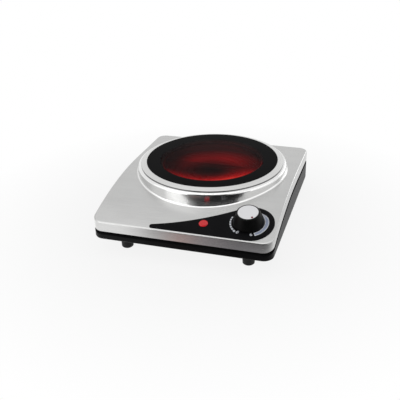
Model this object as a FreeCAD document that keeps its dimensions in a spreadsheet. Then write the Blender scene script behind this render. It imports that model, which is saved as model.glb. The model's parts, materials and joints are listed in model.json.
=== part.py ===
import FreeCAD, Part
import math
import os
import re
import Sketcher
from FreeCAD import Placement, Rotation, Vector

# A single hot plate: a steel cover with a raised round burner, a black base tray, and one dial.
# Millimetres. X runs to the right, Y to the back, Z up. The origin is on the floor under the middle.

# Driving dimensions
SIZES = {
    # Body: its plan is the burner's collar with a margin on each side
    "side_margin": 12.8,
    "front_margin": 42.3,
    "rear_margin": 4.3,
    "body_height": 41.0,
    "corner_radius": 12.0,
    "foot_height": 20.0,
    # Cover: a deck that rolls down to the front and falls slightly to the back
    "cover_sheet": 0.8,
    "skirt_height": 11.5,
    "fold_radius": 2.0,
    "roll_radius": 422.0,
    "crest_setback": 124.6,
    "deck_fall": 2.0,
    # Burner collar, pressed up out of the deck
    "collar_rise": 8.5,
    "collar_step": 3.9,
    "shoulder_radius": 3.0,
    "collar_fillet": 1.8,
    # Glass and the ring that carries it
    "glass_radius": 79.7,
    "glass_thickness": 4.0,
    "glass_rise": 3.2,
    "glass_bevel": 0.5,
    "glass_gap": 0.3,
    "seal_thickness": 1.0,
    "trim_band": 6.8,
    "trim_wall": 0.8,
    "trim_lip": 1.0,
    "trim_drop": 0.2,
    "ledge_width": 5.0,
    "rim_gap": 1.2,
    "ring_stud_radius": 1.25,
    "ring_stud_length": 7.0,
    "ring_stud_inset": 2.6,
    "ring_nut_wall": 1.2,
    # Radiant heater
    "heater_depth": 24.5,
    "pan_gap": 1.5,
    "pan_sheet": 0.6,
    "pan_rim_drop": 2.5,
    "insulation_thickness": 10.0,
    "insulation_wall": 13.0,
    "insulation_gap": 0.3,
    "coil_height": 4.0,
    "coil_ribbon": 1.0,
    "coil_pitch": 8.0,
    "coil_margin": 4.0,
    "coil_opening": 16.0,
    "limiter_radius": 3.0,
    "limiter_rise": 7.4,
    "limiter_head_length": 12.0,
    "limiter_head_width": 16.0,
    "limiter_head_height": 8.0,
    "connector_length": 7.0,
    "connector_width": 22.0,
    "connector_height": 9.0,
    "tab_width": 4.8,
    "tab_sheet": 0.8,
    "tab_length": 7.0,
    # Heater carrier
    "heater_stud_radius": 2.0,
    "shield_drop": 5.0,
    "shield_sheet": 0.6,
    "shield_overhang": 2.5,
    "shield_lip": 2.4,
    "spacer_radius": 7.0,
    "bracket_sheet": 1.2,
    "bracket_width": 30.0,
    "bracket_inset": 13.5,
    "bracket_foot": 15.0,
    "earth_offset": 9.0,
    "lug_wall": 2.5,
    # Base tray
    "tray_gap": 0.4,
    "tray_wall": 2.0,
    "tray_floor": 2.0,
    "tray_overlap": 6.0,
    "tray_edge": 2.0,
    "tray_reveal": 3.0,
    "tray_ledge_edge": 0.6,
    "vent_length": 46.0,
    "vent_width": 4.0,
    "vent_pitch": 10.0,
    # Feet
    "foot_inset_x": 31.2,
    "foot_inset_y": 25.4,
    "foot_top_radius": 7.6,
    "foot_low_radius": 6.8,
    "foot_edge": 1.0,
    "foot_stud_depth": 9.0,
    # Cover posts
    "post_inset": 11.0,
    "post_radius": 3.5,
    "post_thread_depth": 10.0,
    # Screws and nuts
    "small_screw_radius": 1.5,
    "large_screw_radius": 2.0,
    "head_height": 2.0,
    "head_overhang": 1.5,
    "nut_height": 2.4,
    "nut_wall": 1.6,
    "thread_gap": 0.05,
    "hole_gap": 0.3,
    # Control panel
    "panel_sheet": 0.8,
    "panel_gap": 0.1,
    "panel_end_radius": 25.5,
    "panel_shift": 2.5,
    "panel_tip_radius": 2.5,
    "panel_length": 106.0,
    "panel_hollow_radius": 242.0,
    # Dial
    "knob_side": 31.8,
    "knob_front": 26.9,
    "knob_height": 15.4,
    "knob_lift": 0.7,
    "knob_base_radius": 17.0,
    "knob_top_radius": 13.0,
    "knob_band": 1.4,
    "knob_edge": 0.6,
    "cap_radius": 11.1,
    "cap_sheet": 0.8,
    "cap_gap": 0.05,
    "cap_proud": 0.2,
    "hub_gap": 1.2,
    "knob_crown": 1.6,
    "knob_cavity": 11.0,
    "pointer_radius": 1.1,
    "pointer_sheet": 0.2,
    "pointer_reach": 0.836,
    "pointer_angle": -50.0,
    "shaft_radius": 3.0,
    "shaft_flat": 2.2,
    "shaft_gap": 0.05,
    "bushing_radius": 5.0,
    "bushing_rise": 4.6,
    "bushing_nut_height": 2.4,
    "bushing_nut_wall": 2.2,
    "shoulder_gap": 0.1,
    "shoulder_height": 1.3,
    "shoulder_wall": 2.5,
    "thermostat_length": 30.0,
    "thermostat_width": 26.0,
    "thermostat_height": 15.0,
    "shaft_seat": 9.0,
    "thermostat_tab_pitch": 9.0,
    "thermostat_tab_drop": 10.0,
    # Pilot lamp
    "lamp_side": 79.7,
    "lamp_front": 16.6,
    "lens_radius": 4.9,
    "lens_rise": 1.5,
    "lens_stem_radius": 4.0,
    "lens_stem_length": 5.0,
    "lens_dome": 0.8,
    "lamp_wall": 1.0,
    "lamp_length": 14.0,
    "lamp_clip_sheet": 0.8,
    "lamp_clip_wall": 2.4,
    "neon_radius": 2.2,
    "neon_length": 9.0,
    # Mains connection
    "inlet_side": 41.5,
    "inlet_height": 12.5,
    "inlet_bore": 3.6,
    "inlet_wall": 2.3,
    "inlet_flange": 3.0,
    "inlet_flange_sheet": 1.1,
    "inlet_recess": 0.4,
    "inlet_length": 10.0,
    "inlet_nut_height": 3.0,
    "inlet_nut_wall": 2.4,
    "block_length": 30.0,
    "block_width": 14.0,
    "block_height": 13.0,
    "block_side": 14.5,
    "block_setback": 62.0,
    "block_pole_pitch": 9.0,
    "block_screw_radius": 1.4,
    "wire_radius": 1.2,
    "wire_bend": 2.0,
    "wire_clearance": 4.5,
    "lead_spread": 1.8,
}

# Places and levels that follow from the driving dimensions
LEVELS = {
    "no_inset": "0",
    "trim_in": "glass_radius + glass_gap",
    "trim_out": "trim_in + trim_band",
    "collar_radius": "trim_out + collar_step",
    "body_width": "2 * (collar_radius + side_margin)",
    "body_depth": "front_margin + 2 * collar_radius + rear_margin",
    "half_width": "body_width / 2",
    "half_depth": "body_depth / 2",
    "floor_z": "foot_height + tray_floor",
    "crest_z": "foot_height + body_height",
    "crest_y": "crest_setback - half_depth",
    "roll_axis_z": "crest_z - roll_radius",
    "tray_inset": "cover_sheet + tray_gap",
    "tray_inner_inset": "tray_inset + tray_wall",
    "burner_y": "half_depth - rear_margin - collar_radius",
    "ledge_radius": "trim_in - ledge_width",
    "collar_hole": "trim_in + trim_wall + rim_gap",
    "collar_z": "crest_z + collar_rise",
    "ring_stud_circle": "trim_out - ring_stud_inset",
    "glass_z": "collar_z + glass_rise",
    "glass_low": "glass_z - glass_thickness",
    "ledge_z": "glass_low - seal_thickness",
    "pan_radius": "ledge_radius - pan_gap",
    "pan_inner": "pan_radius - pan_sheet",
    "pan_z": "glass_low - heater_depth",
    "pan_floor_z": "pan_z + pan_sheet",
    "insulation_z": "pan_floor_z + insulation_thickness",
    "insulation_inner": "pan_inner - insulation_wall",
    "coil_outer": "insulation_inner - coil_margin",
    "limiter_z": "insulation_z + limiter_rise",
    "limiter_end": "insulation_inner + insulation_wall / 2",
    "shield_z": "pan_z - shield_drop",
    "bracket_z": "shield_z - shield_sheet",
    "bracket_low": "bracket_z - bracket_sheet",
    "bracket_leg": "pan_radius - bracket_inset",
    "bracket_screw_x": "bracket_leg + bracket_foot / 2",
    "earth_y": "burner_y + earth_offset",
    "foot_x": "half_width - foot_inset_x",
    "foot_y": "half_depth - foot_inset_y",
    "post_x": "half_width - post_inset",
    "post_y": "half_depth - post_inset",
    "knob_x": "half_width - knob_side",
    "knob_y": "knob_front - half_depth",
    "lamp_x": "half_width - lamp_side",
    "lamp_y": "lamp_front - half_depth",
    "panel_x": "knob_x + panel_shift",
    "panel_low": "knob_y - panel_end_radius",
    "shoulder_z": "0 - cover_sheet - shoulder_gap",
    "housing_z": "shoulder_z - shoulder_height",
    "knob_top": "knob_height",
    "hub_z": "panel_sheet + bushing_rise + hub_gap",
    "shaft_top": "knob_top - cap_sheet - knob_crown",
    "lamp_top": "shoulder_z - lamp_clip_sheet",
    "inlet_x": "inlet_side - half_width",
    "inlet_z": "foot_height + inlet_height",
    "inlet_y": "half_depth - tray_inset",
    "block_x": "block_side - half_width",
    "block_y": "half_depth - block_setback",
}

COIL_TURNS = 5
VENT_COUNT = 9
RING_STUD_ANGLES = (45, 135, 225, 315)
CORNERS = ((-1, -1), (1, -1), (-1, 1), (1, 1))

doc = FreeCAD.newDocument("hot_plate")
subparts = []


def fill_sheet(name, cells):
    """A spreadsheet with one alias in each row."""
    sheet = doc.addObject("Spreadsheet::Sheet", name)
    for row, (alias, content) in enumerate(cells.items(), start=1):
        sheet.set("A%d" % row, alias)
        sheet.set("B%d" % row, content)
        sheet.setAlias("B%d" % row, alias)
    doc.recompute()
    return sheet


def named(text):
    """The expression with each size's name pointing at its cell."""
    def cell(match):
        word = match.group()
        if word in SIZES:
            return "Sizes." + word
        if word in LEVELS:
            return "Levels." + word
        return word
    return re.sub(r"[a-z][a-z0-9_]*", cell, text)


def own_sheet_names(text):
    """As named, for a cell of the Levels sheet itself, whose own aliases need no prefix."""
    return "=" + named(text).replace("Levels.", "")


sizes = fill_sheet("Sizes", {alias: str(number) for alias, number in SIZES.items()})
levels = fill_sheet("Levels", {alias: own_sheet_names(text) for alias, text in LEVELS.items()})


def value(name):
    """The number in a size's or a level's cell."""
    sheet = sizes if name in SIZES else levels
    return float(sheet.get(name))


def bind(obj, **texts):
    """Ties the object's properties to expressions of the sizes."""
    for prop, text in texts.items():
        obj.setExpression(prop, named(text))
    return obj


def at(obj, x="0", y="0", z="0"):
    """Ties the object's place to expressions of the sizes."""
    for axis, text in zip("xyz", (x, y, z)):
        obj.setExpression("Placement.Base." + axis, named(text))
    return obj


def box(length, width, height, x="0", y="0", z="0"):
    """A block centred on x and y, standing on z."""
    block = bind(doc.addObject("Part::Box", "box"), Length=length, Width=width, Height=height)
    return at(block, f"({x}) - ({length}) / 2", f"({y}) - ({width}) / 2", z)


def cylinder(radius, height, x="0", y="0", z="0", turn=None):
    """A round bar standing on z, or lying along another axis when turned."""
    bar = bind(doc.addObject("Part::Cylinder", "cylinder"), Radius=radius, Height=height)
    if turn:
        bar.Placement = Placement(Vector(), turn)
    return at(bar, x, y, z)


def hexagon(across_radius, height, x="0", y="0", z="0", turn=None):
    """A hexagonal bar; the radius is half its width across flats."""
    bar = doc.addObject("Part::Prism", "hexagon")
    bar.Polygon = 6
    bind(bar, Circumradius=f"({across_radius}) / cos(30)", Height=height)
    if turn:
        bar.Placement = Placement(Vector(), turn)
    return at(bar, x, y, z)


def tube(outer, inner, height, x="0", y="0", z="0", turn=None):
    """A round bar with a bore right through."""
    return cut(cylinder(outer, height, x, y, z, turn), cylinder(inner, height, x, y, z, turn))


def nut(bore, wall, height, x="0", y="0", z="0", turn=None):
    """A hexagon nut."""
    body = hexagon(f"({bore}) + ({wall})", height, x, y, z, turn)
    return cut(body, cylinder(bore, height, x, y, z, turn))


def cut(base, *tools):
    result = doc.addObject("Part::Cut", "cut")
    result.Base = base
    result.Tool = tools[0] if len(tools) == 1 else fuse(*tools)
    return result


def fuse(*pieces):
    result = doc.addObject("Part::MultiFuse", "fuse")
    result.Shapes = list(pieces)
    return result


def common(first, second):
    result = doc.addObject("Part::Common", "common")
    result.Base = first
    result.Tool = second
    return result


def group(pieces):
    result = doc.addObject("Part::Compound", "group")
    result.Links = list(pieces)
    return result


def rounded(base, choices):
    """Rounds edges: each choice is a radius and a test that picks edges."""
    doc.recompute()
    result = doc.addObject("Part::Fillet", "rounded")
    result.Base = base
    result.Edges = [
        (number, radius, radius)
        for number, edge in enumerate(base.Shape.Edges, start=1)
        for radius, wanted in choices
        if wanted(edge)
    ]
    return result


def keep(label, obj):
    """Marks an object as a finished sub-part."""
    obj.Label = label
    subparts.append(obj)
    return obj


def moved(label, obj, frame):
    """A finished sub-part that was modelled about its own axis and is then put in its place."""
    obj.Placement = frame
    return keep(label, obj)


def outline(body, plane_role, corners):
    """A closed sketch of straight lines whose corners are tied to expressions."""
    sketch = body.newObject("Sketcher::SketchObject", "outline")
    plane = next(plane for plane in body.Origin.OriginFeatures if plane.Role == plane_role)
    sketch.AttachmentSupport = [(plane, "")]
    sketch.MapMode = "FlatFace"
    count = len(corners)
    turn = 2 * math.pi / count
    start = [Vector(math.cos(turn * i), math.sin(turn * i), 0) for i in range(count)]
    for i in range(count):
        sketch.addGeometry(Part.LineSegment(start[i], start[(i + 1) % count]))
    for i in range(count):
        sketch.addConstraint(Sketcher.Constraint("Coincident", i, 2, (i + 1) % count, 1))
    for i, (across, up) in enumerate(corners):
        for kind, text in (("DistanceX", across), ("DistanceY", up)):
            index = sketch.addConstraint(Sketcher.Constraint(kind, -1, 1, i, 1, 1.0))
            sketch.setExpression("Constraints[%d]" % index, named(text))
    return sketch


def turned(corners):
    """A body of revolution about Z; each corner is a radius and a height."""
    body = doc.addObject("PartDesign::Body", "turned")
    sketch = outline(body, "XZ_Plane", corners)
    doc.recompute()
    revolution = body.newObject("PartDesign::Revolution", "revolution")
    revolution.Profile = sketch
    revolution.ReferenceAxis = (sketch, ["V_Axis"])
    revolution.Angle = 360.0
    return body


def extruded(plane_role, corners, length):
    """A body padded evenly to both sides of one of its origin planes."""
    body = doc.addObject("PartDesign::Body", "extruded")
    sketch = outline(body, plane_role, corners)
    doc.recompute()
    pad = body.newObject("PartDesign::Pad", "pad")
    pad.Profile = sketch
    pad.Midplane = True
    bind(pad, Length=length)
    return body


ALONG_Y = Rotation(Vector(1, 0, 0), -90)
ALONG_X = Rotation(Vector(0, 1, 0), 90)


def deck_frame(x_name, y_name):
    """A frame on the deck's surface, with Z along its normal."""
    reach = value("crest_y") - value(y_name)
    radius = value("roll_radius")
    lean = math.degrees(math.asin(reach / radius))
    height = value("roll_axis_z") + math.sqrt(radius ** 2 - reach ** 2)
    return Placement(Vector(value(x_name), value(y_name), height), Rotation(Vector(1, 0, 0), lean))


def is_upright(edge):
    first, last = edge.Vertexes[0].Point, edge.Vertexes[-1].Point
    return abs(first.z - last.z) > 1e-6 and abs(first.x - last.x) < 1e-6 and abs(first.y - last.y) < 1e-6


def middle(edge):
    """The point half way along an edge."""
    return edge.valueAt((edge.FirstParameter + edge.LastParameter) / 2)


def burner_distance(point):
    return math.hypot(point.x, point.y - value("burner_y"))


def off_plan(point, inset):
    """How far a point lies outside the body's rounded plan, drawn in by an inset."""
    radius = value("corner_radius") - inset
    across = abs(point.x) - (value("half_width") - inset - radius)
    along = abs(point.y) - (value("half_depth") - inset - radius)
    return math.hypot(max(across, 0), max(along, 0)) + min(max(across, along), 0) - radius


def plan_block(inset, low):
    """An upright block with the body's rounded plan, drawn in by a named inset."""
    block = box(f"body_width - 2 * {inset}", f"body_depth - 2 * {inset}", "2 * body_height", z=low)
    return rounded(block, [(value("corner_radius") - value(inset), is_upright)])


def under_deck(inward="0", drop="0"):
    """All that lies under the deck's curve, drawn inward from it or lowered."""
    axis_z = f"roll_axis_z - ({drop})"
    reach = f"roll_radius - ({inward})"
    roll = cylinder(reach, "2 * body_width", "0 - body_width", "crest_y", axis_z, ALONG_X)
    fall = bind(doc.addObject("Part::Box", "fall"), Length="2 * body_width", Width="body_depth", Height=reach)
    fall.Placement = Placement(Vector(), Rotation(Vector(1, 0, 0), -value("deck_fall")))
    return fuse(roll, at(fall, "0 - body_width", "crest_y", axis_z))


def cover_form(inset, low, base_fillet):
    """The cover's solid outer or inner form: block, deck and raised collar, with its edges rounded."""
    depth = value(inset)
    bottom = value(low)
    block = common(plan_block(inset, low), under_deck(inset))
    collar = cylinder(f"collar_radius - {inset}", f"collar_z - {inset} - floor_z", y="burner_y", z="floor_z")
    radius = value("collar_radius") - depth
    top = value("collar_z") - depth

    def is_fold(edge):
        point = middle(edge)
        on_edge = abs(off_plan(point, depth)) < 1e-3
        return on_edge and point.z > bottom + 1 and not is_upright(edge)

    def on_collar(edge):
        return abs(burner_distance(middle(edge)) - radius) < 1e-3 and not is_upright(edge)

    def is_shoulder(edge):
        return on_collar(edge) and abs(middle(edge).z - top) < 1e-3

    def is_collar_base(edge):
        return on_collar(edge) and middle(edge).z < top - 1

    choices = [(value("fold_radius") - depth, is_fold), (value("shoulder_radius") - depth, is_shoulder)]
    if base_fillet:
        choices.append((value("collar_fillet"), is_collar_base))
    return rounded(fuse(block, collar), choices)


def deck_hole(radius, frame):
    """A bar that pierces the deck along its normal."""
    bar = bind(doc.addObject("Part::Cylinder", "deck_hole"), Radius=radius, Height="body_height")
    bar.Placement = frame.multiply(Placement(Vector(0, 0, -value("body_height") / 2), Rotation()))
    return bar


def screw_from_below(radius, length, x, y):
    """A screw that enters through the tray's floor, its head under the tray."""
    head = cylinder(f"{radius} + head_overhang", "head_height", x, y, "foot_height - head_height")
    return fuse(head, cylinder(radius, length, x, y, "foot_height"))


def on_ring_circle(angle):
    """The place of one of the ring's studs."""
    return f"ring_stud_circle * cos({angle} deg)", f"burner_y + ring_stud_circle * sin({angle} deg)"


knob_frame = deck_frame("knob_x", "knob_y")
lamp_frame = deck_frame("lamp_x", "lamp_y")


# Cover
def top_cover(inner):
    shell = cut(cover_form("no_inset", "foot_height", True), inner)
    trimmed = cut(shell, under_deck(drop="skirt_height"))
    opening = cylinder("collar_hole", "2 * collar_rise", y="burner_y", z="collar_z - collar_rise")
    stud_holes = [
        cylinder("ring_stud_radius + hole_gap", "2 * collar_rise", *on_ring_circle(angle),
                 "collar_z - collar_rise")
        for angle in RING_STUD_ANGLES
    ]
    shaft_hole = deck_hole("bushing_radius + hole_gap", knob_frame)
    lamp_hole = deck_hole("lens_stem_radius + hole_gap", lamp_frame)
    keep("top_cover", cut(trimmed, opening, shaft_hole, lamp_hole, *stud_holes))


def cover_posts(inner):
    posts = []
    screws = []
    for side, end in CORNERS:
        place = f"{side} * post_x", f"{end} * post_y"
        bar = common(cylinder("post_radius", "2 * body_height", *place, "floor_z"), inner)
        thread = cylinder("small_screw_radius + thread_gap", "post_thread_depth", *place, "floor_z")
        posts.append(cut(bar, thread))
        length = "tray_floor + post_thread_depth - head_height"
        screws.append(screw_from_below("small_screw_radius", length, *place))
    keep("cover_posts", group(posts))
    keep("cover_screws", group(screws))


# Burner
def trim_ring():
    wall = "trim_in + trim_wall"
    ring = turned([
        ("trim_in", "glass_z - trim_drop"),
        (wall, "glass_z - trim_drop"),
        ("trim_out", "collar_z + trim_lip"),
        ("trim_out", "collar_z"),
        (wall, "collar_z"),
        (wall, "ledge_z - trim_wall"),
        ("ledge_radius", "ledge_z - trim_wall"),
        ("ledge_radius", "ledge_z"),
        ("trim_in", "ledge_z"),
    ])
    keep("trim_ring", at(ring, y="burner_y"))
    studs = []
    nuts = []
    for angle in RING_STUD_ANGLES:
        place = on_ring_circle(angle)
        studs.append(cylinder("ring_stud_radius", "ring_stud_length", *place, "collar_z - ring_stud_length"))
        under_sheet = "collar_z - cover_sheet - nut_height"
        nuts.append(nut("ring_stud_radius + thread_gap", "ring_nut_wall", "nut_height", *place, under_sheet))
    keep("ring_studs", group(studs))
    keep("ring_nuts", group(nuts))


def glass():
    plate = turned([
        ("0", "glass_low"),
        ("glass_radius", "glass_low"),
        ("glass_radius", "glass_z - glass_bevel"),
        ("glass_radius - glass_bevel", "glass_z"),
        ("0", "glass_z"),
    ])
    keep("glass_plate", at(plate, y="burner_y"))
    seal = turned([
        ("ledge_radius", "ledge_z"),
        ("glass_radius", "ledge_z"),
        ("glass_radius", "glass_low"),
        ("ledge_radius", "glass_low"),
    ])
    keep("glass_seal", at(seal, y="burner_y"))


# Radiant heater under the glass
TAB_PLACES = ("0", "0 - coil_opening / 2 - coil_ribbon / 2")


def tab_slots():
    """The ways that the coil's tabs and the limiter's tube take through the heater's wall."""
    slots = [
        box("tab_sheet + hole_gap", "2 * pan_radius", "coil_height + hole_gap", x,
            "burner_y - pan_radius - pan_sheet", "insulation_z")
        for x in TAB_PLACES
    ]
    bore = cylinder("limiter_radius + hole_gap", "pan_radius + pan_gap + limiter_end",
                    "0 - pan_radius - pan_gap", "burner_y", "limiter_z", ALONG_X)
    return slots + [bore]


def heater_pan():
    rim = "glass_low - pan_rim_drop"
    pan = turned([
        ("0", "pan_z"),
        ("pan_radius", "pan_z"),
        ("pan_radius", rim),
        ("pan_inner", rim),
        ("pan_inner", "pan_floor_z"),
        ("0", "pan_floor_z"),
    ])
    keep("heater_pan", cut(at(pan, y="burner_y"), *tab_slots()))
    lining = "pan_inner - insulation_gap"
    keep("insulation_base", cylinder(lining, "insulation_thickness", y="burner_y", z="pan_floor_z"))
    wall = tube(lining, "insulation_inner", "glass_low - insulation_z", y="burner_y", z="insulation_z")
    keep("insulation_ring", cut(wall, *tab_slots()))


def heating_coil():
    """Open ribbon rings, joined end to end at the front so that they make one path."""
    side_x = "(coil_opening / 2 + coil_ribbon / 2)"
    radii = [f"(coil_outer - {turn} * coil_pitch)" for turn in range(COIL_TURNS)]
    rings = [
        tube(radius, f"{radius} - coil_ribbon", "coil_height", y="burner_y", z="insulation_z")
        for radius in radii
    ]
    middle_y = "burner_y - coil_outer / 2"
    opening = box("coil_opening", "coil_outer", "coil_height", "0", middle_y, "insulation_z")
    pieces = [cut(fuse(*rings), opening)]

    def bar(x, near, far):
        """A straight ribbon along Y, between two distances from the middle."""
        centre = f"burner_y - ({far} + {near}) / 2"
        return box("coil_ribbon", f"{far} - {near}", "coil_height", x, centre, "insulation_z")

    def front_reach(radius):
        return f"sqrt({radius} ^ 2 - (coil_opening / 2 + coil_ribbon) ^ 2)"

    for turn in range(COIL_TURNS - 1):
        side = "" if turn % 2 else "0 - "
        near = front_reach(f"({radii[turn + 1]} - coil_ribbon)")
        pieces.append(bar(side + side_x, near, front_reach(radii[turn])))
    inner_reach = front_reach(f"({radii[-1]} - coil_ribbon)")
    pieces.append(bar(TAB_PLACES[0], inner_reach, "insulation_inner"))
    pieces.append(bar(TAB_PLACES[1], front_reach(radii[0]), "insulation_inner"))
    crossing = box(f"{side_x} + coil_ribbon", "coil_ribbon", "coil_height", f"{side_x} / 2",
                   f"burner_y - {inner_reach} - coil_ribbon / 2", "insulation_z")
    keep("heating_coil", fuse(*pieces, crossing))


def heater_fittings():
    """The thermal limiter and the connector on the heater's outer wall."""
    tube_bar = cylinder("limiter_radius", "pan_radius + limiter_end", "0 - pan_radius", "burner_y",
                        "limiter_z", ALONG_X)
    keep("limiter_tube", tube_bar)
    head = box("limiter_head_length", "limiter_head_width", "limiter_head_height",
               "0 - pan_radius - limiter_head_length / 2", "burner_y", "limiter_z - limiter_head_height / 2")
    keep("limiter_head", head)
    block = box("connector_width", "connector_length", "connector_height", f"({TAB_PLACES[1]}) / 2",
                "burner_y - pan_radius - connector_length / 2",
                "insulation_z + coil_height / 2 - connector_height / 2")
    keep("heater_connector", cut(block, *tab_slots()[:2]))
    reach = "pan_radius + connector_length + tab_length - insulation_inner"
    tabs = [
        box("tab_sheet", reach, "coil_height", x, f"burner_y - insulation_inner - ({reach}) / 2",
            "insulation_z")
        for x in TAB_PLACES
    ]
    keep("connector_tabs", group(tabs))


def heater_carrier():
    """The stud, shield and bracket that hold the heater up against the glass."""
    stud_low = "bracket_low - nut_height - head_height / 2"
    keep("heater_stud", cylinder("heater_stud_radius", f"pan_z - ({stud_low})", y="burner_y", z=stud_low))
    bore = "heater_stud_radius + hole_gap"
    keep("shield_spacer", tube("spacer_radius", bore, "shield_drop", y="burner_y", z="shield_z"))
    rim = "pan_radius + shield_overhang"
    shield = turned([
        (bore, "bracket_z"),
        (rim, "bracket_z"),
        (rim, "shield_z + shield_lip"),
        (f"{rim} - shield_sheet", "shield_z + shield_lip"),
        (f"{rim} - shield_sheet", "shield_z"),
        (bore, "shield_z"),
    ])
    keep("heat_shield", at(shield, y="burner_y"))
    under_plate = "bracket_low - nut_height"
    lock = nut("heater_stud_radius + thread_gap", "nut_wall", "nut_height", "0", "burner_y", under_plate)
    keep("heater_nut", lock)

    half = [
        ("bracket_leg - bracket_sheet", "bracket_low"),
        ("bracket_leg - bracket_sheet", "floor_z"),
        ("bracket_leg + bracket_foot", "floor_z"),
        ("bracket_leg + bracket_foot", "floor_z + bracket_sheet"),
        ("bracket_leg", "floor_z + bracket_sheet"),
        ("bracket_leg", "bracket_z"),
    ]
    mirrored = [(f"0 - ({x})", z) for x, z in reversed(half)]
    strap = at(extruded("XZ_Plane", half + mirrored, "bracket_width"), y="burner_y")
    clear = "small_screw_radius + hole_gap"
    holes = [cylinder(bore, "2 * bracket_sheet", "0", "burner_y", "bracket_low - bracket_sheet / 2")]
    holes.append(cylinder(clear, "2 * bracket_sheet", "0 - bracket_screw_x", "earth_y",
                          "floor_z - bracket_sheet / 2"))
    screws = []
    nuts = []
    for side in (-1, 1):
        place = f"{side} * bracket_screw_x", "burner_y"
        holes.append(cylinder(clear, "2 * bracket_sheet", *place, "floor_z - bracket_sheet / 2"))
        length = "tray_floor + bracket_sheet + nut_height + head_height / 2"
        screws.append(screw_from_below("small_screw_radius", length, *place))
        nuts.append(nut("small_screw_radius + thread_gap", "nut_wall", "nut_height", *place,
                        "floor_z + bracket_sheet"))
    keep("heater_bracket", cut(strap, *holes))
    keep("bracket_screws", group(screws))
    keep("bracket_nuts", group(nuts))


def earth_point():
    place = "0 - bracket_screw_x", "earth_y"
    seat = "floor_z + bracket_sheet"
    lug = tube("small_screw_radius + lug_wall", "small_screw_radius + hole_gap", "tab_sheet", *place, seat)
    keep("earth_lug", lug)
    head = cylinder("small_screw_radius + head_overhang", "head_height", *place, f"{seat} + tab_sheet")
    shank = cylinder("small_screw_radius", "tray_floor + bracket_sheet + tab_sheet", *place, "foot_height")
    keep("earth_screw", fuse(head, shank))


# Base tray and feet
def base_tray():
    low = value("foot_height")

    def is_bottom(edge):
        return abs(middle(edge).z - low) < 1e-3

    def is_ledge(edge):
        point = middle(edge)
        return abs(off_plan(point, 0)) < 1e-3 and point.z > low + 1 and not is_upright(edge)

    plinth = common(plan_block("no_inset", "foot_height"), under_deck(drop="skirt_height + tray_reveal"))
    edges = [(value("tray_edge"), is_bottom), (value("tray_ledge_edge"), is_ledge)]
    rim = common(plan_block("tray_inset", "floor_z"), under_deck(drop="skirt_height - tray_overlap"))
    solid = fuse(rounded(plinth, edges), rim)
    hollow = cut(solid, plan_block("tray_inner_inset", "floor_z"))
    clear = "small_screw_radius + hole_gap"
    through = "2 * tray_floor", "foot_height - tray_floor / 2"

    def floor_hole(radius, x, y):
        return cylinder(radius, through[0], x, y, through[1])

    holes = [floor_hole(clear, f"{side} * post_x", f"{end} * post_y") for side, end in CORNERS]
    stud_clear = "large_screw_radius + hole_gap"
    holes += [floor_hole(stud_clear, f"{side} * foot_x", f"{end} * foot_y") for side, end in CORNERS]
    holes += [floor_hole(clear, f"{side} * bracket_screw_x", "burner_y") for side in (-1, 1)]
    holes.append(floor_hole(clear, "0 - bracket_screw_x", "earth_y"))
    holes += [floor_hole("block_screw_radius + hole_gap", "block_x", y) for y in BLOCK_SCREW_PLACES]
    barrel = "inlet_bore + inlet_wall"
    holes.append(cylinder(f"{barrel} + hole_gap", "3 * tray_wall", "inlet_x", "inlet_y - 2 * tray_wall",
                          "inlet_z", ALONG_Y))
    holes.append(cylinder(f"{barrel} + inlet_flange + inlet_recess", "2 * tray_inset", "inlet_x", "inlet_y",
                          "inlet_z", ALONG_Y))
    for row in range(VENT_COUNT):
        y = f"burner_y + {row - VENT_COUNT // 2} * vent_pitch"
        holes.append(box("vent_length", "vent_width", through[0], "0", y, through[1]))
    keep("base_tray", cut(hollow, *holes))


FEET = {
    "foot_front_left": (-1, -1),
    "foot_front_right": (1, -1),
    "foot_rear_left": (-1, 1),
    "foot_rear_right": (1, 1),
}


def feet():
    bore = "large_screw_radius + thread_gap"
    studs = []
    nuts = []
    for label, (side, end) in FEET.items():
        place = f"{side} * foot_x", f"{end} * foot_y"
        foot = turned([
            ("0", "0"),
            ("foot_low_radius - foot_edge", "0"),
            ("foot_low_radius", "foot_edge"),
            ("foot_top_radius", "foot_height"),
            (bore, "foot_height"),
            (bore, "foot_height - foot_stud_depth"),
            ("0", "foot_height - foot_stud_depth"),
        ])
        keep(label, at(foot, *place))
        length = "foot_stud_depth + tray_floor + nut_height + head_height / 2"
        studs.append(cylinder("large_screw_radius", length, *place, "foot_height - foot_stud_depth"))
        nuts.append(nut(bore, "nut_wall", "nut_height", *place, "floor_z"))
    keep("foot_studs", group(studs))
    keep("foot_nuts", group(nuts))


# Control panel
def panel_outline():
    """A drop shape: a round end, a straight front edge, a small tip and a hollow back edge."""
    end_radius = value("panel_end_radius")
    tip_radius = value("panel_tip_radius")
    hollow = value("panel_hollow_radius")
    end = Vector(value("panel_x"), value("knob_y"), 0)
    tip = Vector(value("panel_x") - value("panel_length"), value("panel_low") + tip_radius, 0)
    far, near = hollow + end_radius, hollow + tip_radius
    span = end.distanceToPoint(tip)
    along = (near ** 2 - far ** 2 + span ** 2) / (2 * span)
    rise = math.sqrt(near ** 2 - along ** 2)
    direction = (end - tip).normalize()
    upward = Vector(-direction.y, direction.x, 0)
    centre = tip + direction * along + upward * rise
    at_end = end + (centre - end).normalize() * end_radius
    at_tip = tip + (centre - tip).normalize() * tip_radius
    end_low = end - Vector(0, end_radius, 0)
    tip_low = tip - Vector(0, tip_radius, 0)
    bisector = (at_tip - centre).normalize() + (at_end - centre).normalize()
    dip = centre + bisector.normalize() * hollow
    arcs = [
        Part.Arc(end_low, end + Vector(end_radius, 0, 0), at_end),
        Part.Arc(at_end, dip, at_tip),
        Part.Arc(at_tip, tip - Vector(tip_radius, 0, 0), tip_low),
    ]
    edges = [arc.toShape() for arc in arcs] + [Part.makeLine(tip_low, end_low)]
    return Part.Face(Part.Wire(edges))


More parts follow.
